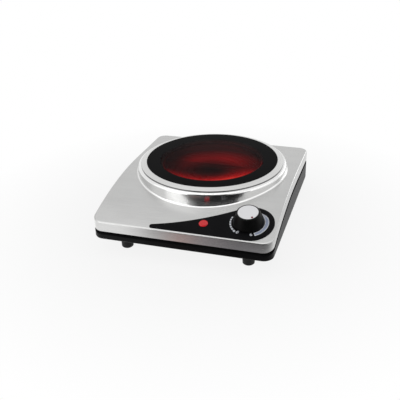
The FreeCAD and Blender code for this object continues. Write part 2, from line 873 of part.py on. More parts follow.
def control_panel():
    """A thin plate that follows the deck's curve."""
    plate = doc.addObject("Part::Feature", "panel_plan")
    height = 2 * value("crest_z")
    plate.Shape = panel_outline().extrude(Vector(0, 0, height))
    skin = cut(common(plate, under_deck("0 - panel_sheet")), under_deck("0 - panel_gap"))
    shaft_hole = deck_hole("bushing_radius + hole_gap", knob_frame)
    lamp_hole = deck_hole("lens_stem_radius + hole_gap", lamp_frame)
    keep("control_panel", cut(skin, shaft_hole, lamp_hole))


# Dial: everything is modelled about the shaft, with Z out of the deck
def thermostat():
    body = box("thermostat_length", "thermostat_width", "thermostat_height",
               z="housing_z - thermostat_height")
    seat = cylinder("shaft_radius + shaft_gap", "shaft_seat", z="housing_z - shaft_seat")
    moved("thermostat_housing", cut(body, seat), knob_frame)
    barrel = cylinder("bushing_radius", "panel_sheet + bushing_rise - housing_z", z="housing_z")
    shoulder = cylinder("bushing_radius + shoulder_wall", "shoulder_height", z="housing_z")
    bore = cylinder("shaft_radius + shaft_gap", "panel_sheet + bushing_rise - housing_z", z="housing_z")
    moved("thermostat_bushing", cut(fuse(barrel, shoulder), bore), knob_frame)
    clamp = nut("bushing_radius + thread_gap", "bushing_nut_wall", "bushing_nut_height", z="panel_sheet")
    moved("bushing_nut", clamp, knob_frame)
    tabs = [
        box("tab_width", "tab_length", "tab_sheet", f"{step} * thermostat_tab_pitch",
            "thermostat_width / 2 + tab_length / 2", "housing_z - thermostat_tab_drop")
        for step in (-1, 0, 1)
    ]
    moved("thermostat_tabs", group(tabs), knob_frame)


def dial():
    """The knob, its cap and clip, and the shaft that they turn."""
    shaft_low = "housing_z - shaft_seat"
    rod = cylinder("shaft_radius", f"shaft_top - ({shaft_low})", z=shaft_low)
    flat_box = box("shaft_radius", "2 * shaft_radius", "shaft_top - hub_z", "shaft_flat + shaft_radius / 2",
                   z="hub_z")
    moved("thermostat_shaft", cut(rod, flat_box), knob_frame)
    spring = cylinder("shaft_radius", "shaft_top - hub_z", z="hub_z")
    beyond = box("2 * shaft_radius", "2 * shaft_radius", "shaft_top - hub_z",
                 "shaft_flat + thread_gap - shaft_radius", z="hub_z")
    moved("knob_clip", cut(spring, beyond), knob_frame)

    low = "panel_sheet + knob_lift"
    bore = "shaft_radius + shaft_gap"
    recess = "knob_top - cap_sheet"
    grip = turned([
        ("0", "shaft_top + shaft_gap"),
        (bore, "shaft_top + shaft_gap"),
        (bore, "hub_z"),
        ("knob_cavity", "hub_z"),
        ("knob_cavity", low),
        ("knob_base_radius", low),
        ("knob_base_radius", f"{low} + knob_band"),
        ("knob_top_radius", "knob_top - knob_edge"),
        ("knob_top_radius - knob_edge", "knob_top"),
        ("cap_radius + cap_gap", "knob_top"),
        ("cap_radius + cap_gap", recess),
        ("0", recess),
    ])
    moved("knob", grip, knob_frame)
    moved("knob_cap", group([cylinder("cap_radius", "cap_sheet + cap_proud", z=recess)]), knob_frame)
    pointer = cylinder("pointer_radius", "pointer_sheet",
                       "cap_radius * pointer_reach * cos(pointer_angle * 1 deg)",
                       "cap_radius * pointer_reach * sin(pointer_angle * 1 deg)", "knob_top + cap_proud")
    moved("knob_pointer", group([pointer]), knob_frame)


# Pilot lamp: modelled about its own axis in the same way
def pilot_lamp():
    top = "panel_sheet + lens_rise"
    lens = turned([
        ("0", "0 - lens_stem_length"),
        ("lens_stem_radius", "0 - lens_stem_length"),
        ("lens_stem_radius", "panel_sheet"),
        ("lens_radius", "panel_sheet"),
        ("lens_radius", f"{top} - lens_dome"),
        ("lens_radius - lens_dome", top),
        ("0", top),
    ])
    moved("pilot_lens", lens, lamp_frame)
    bore = "lens_stem_radius + thread_gap"
    clip = tube(f"{bore} + lamp_clip_wall", bore, "lamp_clip_sheet", z="lamp_top")
    moved("pilot_clip", clip, lamp_frame)
    barrel = cylinder(f"{bore} + lamp_wall", "lamp_length", z="lamp_top - lamp_length")
    hollow = cylinder(bore, "lamp_length - lamp_wall", z="lamp_top - lamp_length + lamp_wall")
    moved("pilot_housing", cut(barrel, hollow), lamp_frame)
    bulb = cylinder("neon_radius", "neon_length", z="lamp_top - lamp_length + lamp_wall")
    moved("neon_bulb", group([bulb]), lamp_frame)


# Mains connection
def cord_inlet():
    barrel_radius = "inlet_bore + inlet_wall"
    barrel = cylinder(barrel_radius, "inlet_length", "inlet_x", "inlet_y - inlet_length", "inlet_z", ALONG_Y)
    flange = cylinder(f"{barrel_radius} + inlet_flange", "inlet_flange_sheet", "inlet_x", "inlet_y",
                      "inlet_z", ALONG_Y)
    bore = cylinder("inlet_bore", "inlet_length + inlet_flange_sheet", "inlet_x", "inlet_y - inlet_length",
                    "inlet_z", ALONG_Y)
    keep("cord_inlet", cut(fuse(barrel, flange), bore))
    lock = nut(f"{barrel_radius} + thread_gap", "inlet_nut_wall", "inlet_nut_height", "inlet_x",
               "inlet_y - tray_wall - inlet_nut_height", "inlet_z", ALONG_Y)
    keep("inlet_nut", lock)


BLOCK_SCREW_PLACES = ("block_y - block_pole_pitch / 2", "block_y + block_pole_pitch / 2")


def terminal_block():
    block = box("block_width", "block_length", "block_height", "block_x", "block_y", "floor_z")
    depth = "block_height / 2"
    holes = [
        cylinder("block_screw_radius + thread_gap", depth, "block_x", y, "floor_z")
        for y in BLOCK_SCREW_PLACES
    ]
    keep("terminal_block", cut(block, *holes))
    fixings = [
        screw_from_below("block_screw_radius", f"tray_floor + {depth} - head_height / 2", "block_x", y)
        for y in BLOCK_SCREW_PLACES
    ]
    keep("block_screws", group(fixings))
    heads = [
        cylinder("block_screw_radius + head_overhang / 2", "head_height / 2", "block_x",
                 f"block_y + {step} * block_pole_pitch", "floor_z + block_height")
        for step in (-1, 0, 1)
    ]
    keep("terminal_screws", group(heads))


# Wiring
def wire(label, *points):
    """A round insulated wire: straight runs joined by square bends."""
    bend = value("wire_bend")
    runs = []
    start = points[0]
    for corner, beyond in zip(points[1:], points[2:]):
        back = (start - corner).normalize() * bend
        ahead = (beyond - corner).normalize() * bend
        centre = corner + back + ahead
        halfway = centre - (back + ahead).normalize() * bend
        runs.append(Part.makeLine(start, corner + back))
        runs.append(Part.Arc(corner + back, halfway, corner + ahead).toShape())
        start = corner + ahead
    runs.append(Part.makeLine(start, points[-1]))
    section = Part.Wire(Part.makeCircle(value("wire_radius"), points[0], points[1] - points[0]))
    result = doc.addObject("Part::Feature", "wire")
    result.Shape = Part.Wire(runs).makePipeShell([section], True, True)
    keep(label, result)


def below(point, frame):
    """A wire's end under a leaning face, clear of the face's low side."""
    slope = math.tan(frame.Rotation.Angle)
    return point - Vector(0, 0, value("wire_radius") * slope + value("thread_gap"))


def wiring():
    block_face = value("block_x") + value("block_width") / 2
    block_z = value("floor_z") + 0.6 * value("block_height")
    pitch = value("block_pole_pitch")
    live, neutral, earth = (
        Vector(block_face, value("block_y") + step * pitch, block_z) for step in (-1, 0, 1)
    )
    clearance = value("wire_clearance")
    lane_x = -value("pan_radius") - clearance
    far_lane_x = lane_x - value("wire_radius") - value("wire_bend")
    low_z = value("floor_z") + 2 * value("wire_radius")
    high_z = block_z + clearance

    tab_y = value("thermostat_width") / 2 + 0.7 * value("tab_length")
    tab_z = value("housing_z") - value("thermostat_tab_drop")
    tab_pitch = value("thermostat_tab_pitch")
    switched_tab, live_tab, lamp_tab = (
        below(knob_frame.multVec(Vector(step * tab_pitch, tab_y, tab_z)), knob_frame) for step in (-1, 0, 1)
    )
    lane_y = live_tab.y
    coil_y = value("burner_y") - value("pan_radius") - value("connector_length") - value("tab_length") / 2
    coil_z = value("insulation_z")
    outer_tab_x = -(value("coil_opening") + value("coil_ribbon")) / 2
    wire("switched_wire", switched_tab, Vector(switched_tab.x, lane_y, high_z), Vector(0, coil_y, high_z),
         Vector(0, coil_y, coil_z))
    wire("live_wire", live, Vector(lane_x, live.y, block_z), Vector(lane_x, lane_y, block_z),
         Vector(live_tab.x, lane_y, block_z), live_tab)

    head_z = value("limiter_z") - value("limiter_head_height") / 2
    limiter_y = value("burner_y") - clearance
    wire("limiter_wire", Vector(outer_tab_x, coil_y, coil_z), Vector(outer_tab_x, coil_y, high_z),
         Vector(far_lane_x, coil_y, high_z), Vector(far_lane_x, limiter_y, high_z),
         Vector(far_lane_x, limiter_y, head_z))
    rise_z = head_z - clearance
    wire("neutral_wire", neutral, Vector(lane_x, neutral.y, block_z), Vector(lane_x, neutral.y, rise_z),
         Vector(lane_x, value("burner_y"), rise_z), Vector(lane_x, value("burner_y"), head_z))

    lug_x = -value("bracket_screw_x")
    lug_edge = value("earth_y") + value("small_screw_radius") + value("lug_wall")
    lug_z = value("floor_z") + value("bracket_sheet") + value("wire_radius") + value("thread_gap")
    drop_y = neutral.y - pitch
    wire("earth_wire", earth, Vector(lug_x, earth.y, block_z), Vector(lug_x, drop_y, block_z),
         Vector(lug_x, drop_y, lug_z), Vector(lug_x, lug_edge, lug_z))

    lamp_base = value("lamp_top") - value("lamp_length")
    spread = value("lead_spread")
    lamp_live, lamp_neutral = (
        below(lamp_frame.multVec(Vector(side * spread, (side - 1) * spread / 2, lamp_base)), lamp_frame)
        for side in (1, -1)
    )
    under_y = lane_y - 2 * clearance
    wire("lamp_live_wire", lamp_live, Vector(lamp_live.x, lamp_live.y, low_z),
         Vector(lamp_live.x, under_y, low_z), Vector(lamp_tab.x, under_y, low_z),
         Vector(lamp_tab.x, lane_y, low_z), lamp_tab)
    block_front = value("block_y") - value("block_length") / 2
    entry_x = block_face - 2 * value("wire_radius")
    wire("lamp_neutral_wire", lamp_neutral, Vector(lamp_neutral.x, lamp_neutral.y, low_z),
         Vector(entry_x, lamp_neutral.y, low_z), Vector(entry_x, block_front, low_z))


def build():
    inner = cover_form("cover_sheet", "no_inset", False)
    top_cover(inner)
    cover_posts(inner)
    trim_ring()
    glass()
    heater_pan()
    heating_coil()
    heater_fittings()
    heater_carrier()
    earth_point()
    base_tray()
    feet()
    control_panel()
    thermostat()
    dial()
    pilot_lamp()
    cord_inlet()
    terminal_block()
    wiring()


def check():
    """Stops if any object failed or any sub-part is not a sound solid."""
    doc.recompute()
    failed = [obj.Name for obj in doc.Objects if "Invalid" in obj.State or "Error" in obj.State]
    unsound = [obj.Label for obj in subparts if obj.Shape.isNull() or not obj.Shape.isValid()]
    if failed or unsound:
        raise RuntimeError("failed: %s, unsound: %s" % (failed, unsound))


def write():
    os.makedirs("parts", exist_ok=True)
    for obj in subparts:
        obj.Shape.exportStep("parts/%s.step" % obj.Label)
        solids = obj.Shape.Solids
        print(obj.Label, len(solids), "solids", round(sum(solid.Volume for solid in solids), 1), "mm3")


build()
check()
write()
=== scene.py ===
"""The finish of a single radiant hot plate.

Brushed steel cover, dark glass over a glowing coil, and a black panel with one dial.
"""

import json
import math

import bmesh
import bpy
from mathutils import Matrix, Vector


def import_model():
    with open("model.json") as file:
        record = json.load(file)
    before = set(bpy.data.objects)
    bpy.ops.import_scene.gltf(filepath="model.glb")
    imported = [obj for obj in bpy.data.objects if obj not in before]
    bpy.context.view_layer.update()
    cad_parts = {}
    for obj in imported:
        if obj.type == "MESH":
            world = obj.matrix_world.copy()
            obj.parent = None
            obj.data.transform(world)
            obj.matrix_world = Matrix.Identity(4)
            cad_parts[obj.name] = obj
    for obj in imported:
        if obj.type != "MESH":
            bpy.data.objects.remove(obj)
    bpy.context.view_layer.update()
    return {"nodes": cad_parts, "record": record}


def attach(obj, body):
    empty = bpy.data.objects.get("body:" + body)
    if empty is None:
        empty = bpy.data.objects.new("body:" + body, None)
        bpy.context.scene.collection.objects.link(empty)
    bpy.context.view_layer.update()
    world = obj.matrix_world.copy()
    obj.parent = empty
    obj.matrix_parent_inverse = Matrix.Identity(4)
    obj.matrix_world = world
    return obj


MM = 0.001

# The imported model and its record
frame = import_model()
nodes = frame["nodes"]

# Places on the part, in metres, angles in radians, and the direction of the cover's brushing
BURNER = Vector((0.0, 19.0, 0.0)) * MM
COLLAR_RADIUS = 90.7 * MM
RING_RADIUS = 86.8 * MM
ROLL_RADIUS = 422.0 * MM
ROLL_CENTRE = Vector((0.0, 10.6, -361.0)) * MM
DECK_FALL = math.radians(2.0)
TRAY_DROP = 14.5 * MM
PANEL_SHEET = 0.8 * MM
KNOB = Vector((71.7, -87.1, 49.535)) * MM
KNOB_LEAN = math.radians(13.387)
BRUSHING = (1.0, 0.02, 0.0)

# The glow under the glass: where its pattern lies, and how bright each lit piece is
HEATER_FLOOR = Vector((0.0, 19.0, 54.8)) * MM
HEATER_DEPTH = 34.7 * MM
HEATER_TURN = math.radians(18.0)
HEATER_SLANT = 1.94
HUB_RADIUS = 8.0 * MM
RING_PEAK = 40.0 * MM
RING_END = 68.0 * MM
COIL_GLOW = 5.2
FIBRE_PAINTED_GLOW = 4.9
TUBE_PAINTED_GLOW = 4.2

# The glass: its window, how much of the heater it hides, and how softly the window's edge ends
WINDOW_RADIUS = 63.0 * MM
GLASS_COVER = 0.68
BORDER_BLUR = 0.6 * MM
BACK_BLUR = 14.0 * MM

# Moulded surfaces: their usual grain and relief, how much their roughness varies, and the base's roughness
MOULDED_GRAIN = 0.5 * MM
MOULDED_DEPTH = 0.05 * MM
ROUGH_SPREAD = 0.06
BASE_ROUGH = 0.38

# The dial's print, by distance and direction from the dial's axis
INK = 0.04 * MM
INK_SINK = 0.05 * MM
SCALE_RADIUS = 20.0 * MM
LOW_START = math.radians(163.0)
LOW_END = math.radians(238.0)
BEADS = 7
BEAD_LENGTH = 0.74
BEAD_HALF = 0.75 * MM
BEAD_GROWTH = 0.35 * MM
HIGH_START = math.radians(61.0)
HIGH_END = math.radians(-60.0)
POINT_RADII = (19.4 * MM, 19.6 * MM)
END_RADII = (17.4 * MM, 21.9 * MM)
TAPER_SHARE = 0.3
FILL_MARGIN = 0.9 * MM
FILL_INSET_SHARE = 0.1
FILL_POINT_GAP = 4.0
FIGURE_RADIUS = 19.0 * MM
FIGURE_SIZE = 5.5 * MM
FIGURE_WEIGHT = 0.2 * MM
LOW_FIGURE = math.radians(-117.0)
HIGH_FIGURE = math.radians(-70.0)
ARC_STEP = math.radians(2.0)

# The camera, fitted to the photograph
CAMERA_PLACE = Vector((213.502, -691.081, 397.907)) * MM
CAMERA_AZIMUTH = math.radians(17.995)
CAMERA_ELEVATION = math.radians(27.275)
CAMERA_ROLL = math.radians(-1.642)
FOCAL_PIXELS = 659.261
PICTURE_PIXELS = 400.0
SENSOR_WIDTH = 36.0

# The studio, in metres and in strengths of light where white is 1
SOFT_WORLD = 0.25
FLOOR_RADIUS = 4.0
FLOOR_SIDES = 128
FLOOR_WHITE_NEAR = 0.87
FLOOR_FADE = (0.15, 0.34)
FLOOR_TONE = 0.86
CARD_STEPS = 40
CARD_LIFT = 0.002
CARD_NEAR_LIGHT = 1.5
CARD_FAR_LIGHT = 0.05
CARD_LEFT_LIGHT = 1.35
CARD_FADE = (0.17, 0.23)
MATT_BLACK = {"Base Color": (0.0, 0.0, 0.0, 1.0), "Specular IOR Level": 0.0, "Roughness": 1.0}
PART_MIDDLE = (0.0, 0.0, 0.05)
COLLAR_MIDDLE = (0.0, 0.0, 0.065)


# Material tools
class Finish:
    """A Principled material, with short ways to add the nodes that vary it."""

    def __init__(self, name, sockets):
        self.material = bpy.data.materials.new(name)
        self.material.use_nodes = True
        self.tree = self.material.node_tree
        self.shader = self.tree.nodes["Principled BSDF"]
        for socket, source in sockets.items():
            self.feed(self.shader.inputs[socket], source)

    def feed(self, socket, source):
        """Links a node's output to the socket, or sets the socket to a number or colour."""
        if isinstance(source, bpy.types.NodeSocket):
            self.tree.links.new(source, socket)
        else:
            socket.default_value = source

    def drive(self, socket, source):
        """Feeds one of the shader's own sockets."""
        self.feed(self.shader.inputs[socket], source)

    def node(self, kind, *sources, **options):
        """A new node with these sources in its first sockets. Gives its first output."""
        made = self.tree.nodes.new("ShaderNode" + kind)
        for option, setting in options.items():
            setattr(made, option, setting)
        for socket, source in zip(made.inputs, sources):
            self.feed(socket, source)
        return made.outputs[0]

    def position(self):
        """The place on the part, in metres."""
        return self.tree.nodes.new("ShaderNodeTexCoord").outputs["Object"]

    def facing(self):
        """The direction in which the surface faces."""
        return self.tree.nodes.new("ShaderNodeNewGeometry").outputs["Normal"]

    def vector(self, operation, a, b):
        return self.node("VectorMath", a, b, operation=operation)

    def math(self, operation, a, b=0.0):
        return self.node("Math", a, b, operation=operation)

    def split(self, vector):
        """The x, y and z of a vector."""
        made = self.tree.nodes.new("ShaderNodeSeparateXYZ")
        self.feed(made.inputs[0], vector)
        return made.outputs

    def join(self, x, y, z):
        return self.node("CombineXYZ", x, y, z)

    def noise(self, place, grain, detail=3.0):
        """Soft noise from 0 to 1, with grains of this size in metres along each axis of the place."""
        scaled = self.vector("MULTIPLY", place, [1.0 / size for size in grain])
        made = self.tree.nodes.new("ShaderNodeTexNoise")
        self.feed(made.inputs["Vector"], scaled)
        made.inputs["Scale"].default_value = 1.0
        made.inputs["Detail"].default_value = detail
        return made.outputs[0]

    def span(self, factor, low, high, from_low=0.0, from_high=1.0):
        """The factor, taken from one range of numbers to another and kept inside it."""
        return self.node("MapRange", factor, from_low, from_high, low, high)

    def ramp(self, factor, *stops):
        """A colour for the factor, from stops of place and colour."""
        made = self.tree.nodes.new("ShaderNodeValToRGB")
        self.feed(made.inputs[0], factor)
        elements = made.color_ramp.elements
        while len(elements) < len(stops):
            elements.new(0.5)
        for element, (place, colour) in zip(elements, stops):
            element.position = place
            element.color = (*colour, 1.0)
        return made.outputs[0]

    def bump(self, height, depth, strength=1.0):
        """Relief of this depth in metres, from a height of 0 to 1."""
        made = self.tree.nodes.new("ShaderNodeBump")
        made.inputs["Strength"].default_value = strength
        made.inputs["Distance"].default_value = depth
        self.feed(made.inputs["Height"], height)
        self.drive("Normal", made.outputs[0])

    def total(self, *shares):
        """The sum of numbers, each times its share."""
        terms = [self.math("MULTIPLY", number, share) for number, share in shares]
        result = terms[0]
        for term in terms[1:]:
            result = self.math("ADD", result, term)
        return result

    def hypot(self, x, y):
        return self.math("SQRT", self.total((x, x), (y, y)))

    def burner_radius(self, place):
        """The distance from the burner's axis, in metres."""
        x, y, _ = self.split(self.vector("SUBTRACT", place, list(BURNER)))
        return self.hypot(x, y)


def grey(level):
    return (level, level, level, 1.0)


# Metals
def brushed_cover():
    """Sheet brushed from side to side, with the pressed collar polished by its tool."""
    steel = Finish("brushed_cover", {"Metallic": 1.0, "Anisotropic": 0.7})
    place = steel.position()
    steel.drive("Tangent", steel.vector("CROSS_PRODUCT", steel.facing(), BRUSHING))
    x, y, z = steel.split(place)
    sheet = steel.join(x, steel.math("ADD", y, z), 0.0)
    fine = steel.noise(sheet, (9 * MM, 0.12 * MM, 1.0), 2.0)
    broad = steel.noise(sheet, (60 * MM, 1.6 * MM, 1.0), 3.0)
    cloud = steel.noise(place, (45 * MM, 30 * MM, 30 * MM), 2.0)
    mix = steel.total((broad, 0.5), (cloud, 0.5))
    radius = steel.burner_radius(place)
    polish = steel.span(radius, 1.0, 0.0, COLLAR_RADIUS + 1.0 * MM, COLLAR_RADIUS + 2.5 * MM)
    plain = steel.math("SUBTRACT", 1.0, polish)
    brushed_tone = steel.span(mix, 0.0, 0.5, 0.25, 0.75)
    polished_tone = steel.span(mix, 0.9, 1.0)
    tone = steel.total((brushed_tone, plain), (polished_tone, polish))
    steel.drive("Base Color", steel.ramp(tone, (0.0, (0.47, 0.47, 0.467)), (0.5, (0.53, 0.53, 0.525)),
                                         (1.0, (0.80, 0.80, 0.795))))
    brushed_rough = steel.span(fine, 0.20, 0.30)
    polished_rough = steel.span(fine, 0.15, 0.19)
    steel.drive("Roughness", steel.total((brushed_rough, plain), (polished_rough, polish)))
    steel.bump(steel.math("MULTIPLY", fine, plain), 0.02 * MM, 0.5)
    return steel.material


def brushed_ring():
    """Turned ring: fine lines that run round the burner, and a painted shade along its outer edge that stands
    in for the shadow of the gap to the collar.
    """
    steel = Finish("brushed_ring", {"Metallic": 1.0, "Anisotropic": 0.7})
    place = steel.position()
    radius = steel.burner_radius(place)
    steel.drive("Tangent", steel.vector("SUBTRACT", place, list(BURNER)))
    _, _, z = steel.split(place)
    section = steel.join(radius, z, 0.0)
    lines = steel.noise(section, (0.15 * MM, 0.15 * MM, 1.0), 2.0)
    bands = steel.noise(section, (1.2 * MM, 1.2 * MM, 1.0), 2.0)
    # Painted shade: the outer edge is darkened to stand in for the shadow in the gap between the ring and the
    # collar.
    edge = steel.span(radius, 0.0, 0.5, RING_RADIUS - 0.4 * MM, RING_RADIUS - 0.1 * MM)
    tone = steel.math("SUBTRACT", steel.span(bands, 0.5, 1.0, 0.3, 0.7), edge)
    steel.drive("Base Color", steel.ramp(tone, (0.0, (0.08, 0.08, 0.082)), (0.4, (0.2, 0.2, 0.2)),
                                         (0.5, (0.58, 0.58, 0.575)), (1.0, (0.68, 0.68, 0.67))))
    steel.drive("Roughness", steel.span(lines, 0.16, 0.3))
    steel.bump(lines, 0.015 * MM, 0.5)
    return steel.material


def plain_steel():
    """Zinc-coated sheet with its faint crystal pattern."""
    steel = Finish("plain_steel", {"Metallic": 1.0})
    spangle = steel.noise(steel.position(), (7 * MM,) * 3, 4.0)
    steel.drive("Base Color", steel.ramp(spangle, (0.3, (0.42, 0.43, 0.44)), (0.7, (0.56, 0.57, 0.58))))
    steel.drive("Roughness", steel.span(spangle, 0.3, 0.5))
    return steel.material


def zinc_fasteners():
    zinc = Finish("zinc_fasteners", {"Metallic": 1.0})
    worn = zinc.noise(zinc.position(), (1.5 * MM,) * 3, 4.0)
    zinc.drive("Base Color", zinc.ramp(worn, (0.3, (0.5, 0.5, 0.48)), (0.7, (0.66, 0.66, 0.63))))
    zinc.drive("Roughness", zinc.span(worn, 0.25, 0.45))
    return zinc.material


def brass():
    metal = Finish("brass", {"Metallic": 1.0})
    worn = metal.noise(metal.position(), (2 * MM,) * 3, 4.0)
    metal.drive("Base Color", metal.ramp(worn, (0.3, (0.56, 0.38, 0.13)), (0.7, (0.74, 0.53, 0.22))))
    metal.drive("Roughness", metal.span(worn, 0.25, 0.45))
    return metal.material


def silver_cap():
    """Spun aluminium disc: fine rings about the dial's axis."""
    metal = Finish("silver_cap", {"Metallic": 1.0})
    place = metal.vector("SUBTRACT", metal.position(), list(KNOB))
    x, y, _ = metal.split(place)
    radius = metal.hypot(x, y)
    rings = metal.noise(metal.join(radius, 0.0, 0.0), (0.25 * MM, 1.0, 1.0), 2.0)
    metal.drive("Base Color", metal.ramp(rings, (0.3, (0.61, 0.61, 0.625)), (0.7, (0.71, 0.71, 0.725))))
    metal.drive("Roughness", metal.span(rings, 0.25, 0.4))
    metal.bump(rings, 0.01 * MM, 0.4)
    return metal.material


# Glass, heater and lamp
def dark_glass():
    """Polished black glass ceramic with a printed black border, which shows little but the glow under it;
    painted light makes its window lighter towards the back.
    """
    glass = Finish("dark_glass", {"Roughness": 0.04, "Specular IOR Level": 0.008})
    place = glass.position()
    radius = glass.burner_radius(place)
    _, y, _ = glass.split(glass.vector("SUBTRACT", place, list(BURNER)))
    blur = glass.span(y, BORDER_BLUR, BACK_BLUR, 0.0, 30 * MM)
    clear_radius = glass.math("SUBTRACT", WINDOW_RADIUS, blur)
    border_radius = WINDOW_RADIUS + BORDER_BLUR
    glass.drive("Alpha", glass.span(radius, GLASS_COVER, 1.0, clear_radius, border_radius))
    haze = glass.noise(place, (30 * MM,) * 3, 3.0)
    inside = glass.span(radius, 1.0, 0.0, clear_radius, border_radius)
    # Painted light: inside the window the glass is made lighter towards its back.
    painted_back_light = glass.math("MULTIPLY", inside, glass.span(y, 0.0, 1.0, 0.0, 50 * MM))
    tone = glass.total((haze, 0.3), (painted_back_light, 0.7))
    glass.drive("Base Color", glass.ramp(tone, (0.1, (0.003, 0.003, 0.0035)), (0.2, (0.005, 0.005, 0.0055)),
                                         (0.9, (0.016, 0.016, 0.0165))))
    return glass.material


def heat(finish, place):
    """How brightly the heater glows here: a bright crescent at the front, and a dimmer ring round the hub."""
    x, y, height = finish.split(finish.vector("SUBTRACT", place, list(HEATER_FLOOR)))
    across = finish.total((x, math.cos(HEATER_TURN)), (y, math.sin(HEATER_TURN)))
    away = finish.total((y, math.cos(HEATER_TURN)), (x, -math.sin(HEATER_TURN)), (height, HEATER_SLANT))
    from_hub = finish.hypot(across, away)
    rise = finish.span(from_hub, 0.0, 1.0, HUB_RADIUS, RING_PEAK)
    fall = finish.span(from_hub, 1.0, 0.06, RING_PEAK, RING_END)
    right = finish.span(across, 0.03, 0.10, 0.0, 20 * MM)
    behind = finish.span(away, 0.0, 0.18, 8 * MM, 36 * MM)
    back = finish.math("MULTIPLY", behind, finish.span(across, 0.1, 1.0, -46 * MM, -22 * MM))
    ring = finish.math("MULTIPLY", finish.math("MULTIPLY", rise, fall), finish.math("ADD", right, back))
    beyond = finish.math("SUBTRACT", away, HEATER_DEPTH)
    to_edge = finish.math("SUBTRACT", WINDOW_RADIUS - 2 * MM, finish.hypot(across, beyond))
    fade = finish.math("EXPONENT", finish.span(to_edge, 0.0, -10.0, 0.0, 65 * MM))
    left_end = finish.span(across, 0.3, 1.0, -45 * MM, 15 * MM)
    right_end = finish.span(across, 1.0, 0.1, 22 * MM, 52 * MM)
    front = finish.span(beyond, 1.0, 0.0, -42 * MM, -20 * MM)
    ends = finish.math("MULTIPLY", left_end, right_end)
    crescent = finish.math("MULTIPLY", finish.math("MULTIPLY", fade, front), ends)
    return finish.math("ADD", ring, crescent)


def glow(finish, place, strength):
    """Makes the finish glow red where it is hot, and nearer orange where it is hottest."""
    here = heat(finish, place)
    finish.drive("Emission Color", finish.ramp(here, (0.0, (1.0, 0.008, 0.016)), (0.3, (1.0, 0.012, 0.018)),
                                               (1.0, (1.0, 0.045, 0.032))))
    finish.drive("Emission Strength", finish.math("MULTIPLY", here, strength))


def coil_ribbon():
    """Red-hot ribbon with darker oxide on it."""
    coil = Finish("coil_ribbon", {"Roughness": 0.6})
    place = coil.position()
    oxide = coil.noise(place, (1.5 * MM,) * 3, 3.0)
    coil.drive("Base Color", coil.ramp(oxide, (0.3, (0.03, 0.02, 0.02)), (0.7, (0.07, 0.05, 0.045))))
    glow(coil, place, COIL_GLOW)
    return coil.material


def insulation():
    """Pressed fibre, off-white and slightly uneven, with a painted glow that stands for the coil's light on
    it.
    """
    fibre = Finish("insulation", {"Roughness": 0.95, "Specular IOR Level": 0.1})
    place = fibre.position()
    lumps = fibre.noise(place, (2.5 * MM,) * 3, 6.0)
    fibre.drive("Base Color", fibre.ramp(lumps, (0.3, (0.20, 0.18, 0.16)), (0.7, (0.30, 0.28, 0.25))))
    fibre.bump(lumps, 0.5 * MM)
    # Painted glow: the fibre is no lamp; its emission stands for the coil's light falling on it.
    glow(fibre, place, FIBRE_PAINTED_GLOW)
    return fibre.material


def seal_fibre():
    fibre = Finish("seal_fibre", {"Roughness": 0.95, "Specular IOR Level": 0.1})
    weave = fibre.noise(fibre.position(), (0.8 * MM,) * 3, 4.0)
    fibre.drive("Base Color", fibre.ramp(weave, (0.3, (0.02, 0.02, 0.02)), (0.7, (0.05, 0.05, 0.05))))
    fibre.bump(weave, 0.2 * MM)
    return fibre.material


def quartz():
    """The limiter's tube, cloudy and lit by the coil below it."""
    tube = Finish("quartz", {"Roughness": 0.3, "Specular IOR Level": 0.1})
    place = tube.position()
    cloud = tube.noise(place, (6 * MM,) * 3, 3.0)
    tube.drive("Base Color", tube.ramp(cloud, (0.3, (0.05, 0.035, 0.035)), (0.7, (0.08, 0.055, 0.05))))
    # Painted glow: the tube is no lamp; its emission stands for the coil's light on it.
    glow(tube, place, TUBE_PAINTED_GLOW)
    return tube.material


def red_lens():
    """Clear red cap with the lamp alight behind it."""
    lens = Finish("red_lens", {
        "Roughness": 0.15, "Specular IOR Level": 0.35, "Emission Color": (1.0, 0.03, 0.04, 1.0),
    })
    grain = lens.noise(lens.position(), (0.8 * MM,) * 3, 3.0)
    lens.drive("Base Color", lens.ramp(grain, (0.3, (0.44, 0.008, 0.012)), (0.7, (0.56, 0.02, 0.025))))
    lens.drive("Emission Strength", lens.span(grain, 0.15, 0.30))
    lens.bump(grain, 0.1 * MM, 0.5)
    return lens.material


# Plastics, paint and rubber
def moulding(name, dark, light, specular, grain=MOULDED_GRAIN, depth=MOULDED_DEPTH):
    """Coloured plastic, paint or rubber with a fine moulded grain. Gives the finish and its grain."""
    finish = Finish(name, {"Specular IOR Level": specular})
    place = finish.position()
    texture = finish.noise(place, (grain,) * 3, 4.0)
    cloud = finish.noise(place, (20 * MM,) * 3, 2.0)
    finish.drive("Base Color", finish.ramp(cloud, (0.3, dark), (0.7, light)))
    finish.bump(texture, depth, 0.6)
    return finish, texture


def moulded(name, dark, light, rough, specular=0.5, **relief):
    """A moulding that is about equally rough all over."""
    finish, texture = moulding(name, dark, light, specular, **relief)
    finish.drive("Roughness", finish.span(texture, rough - ROUGH_SPREAD, rough + ROUGH_SPREAD))
    return finish.material


def black_base():
    """Black moulding, satin on its sides and dull along the lip that meets the cover."""
    base, _ = moulding("black_base", (0.004, 0.004, 0.0045), (0.006, 0.006, 0.0065), specular=0.07)
    _, y, z = base.split(base.vector("SUBTRACT", base.position(), list(ROLL_CENTRE)))
    ahead = base.math("MINIMUM", y, 0.0)
    crest = base.math("SQRT", base.math("SUBTRACT", ROLL_RADIUS ** 2, base.math("MULTIPLY", ahead, ahead)))
    fall = base.math("MULTIPLY", base.math("MAXIMUM", y, 0.0), math.tan(DECK_FALL))
    depth = base.math("SUBTRACT", base.math("SUBTRACT", crest, fall), z)
    base.drive("Roughness", base.span(depth, 1.0, BASE_ROUGH, TRAY_DROP + 1.0 * MM, TRAY_DROP + 1.8 * MM))
    return base.material


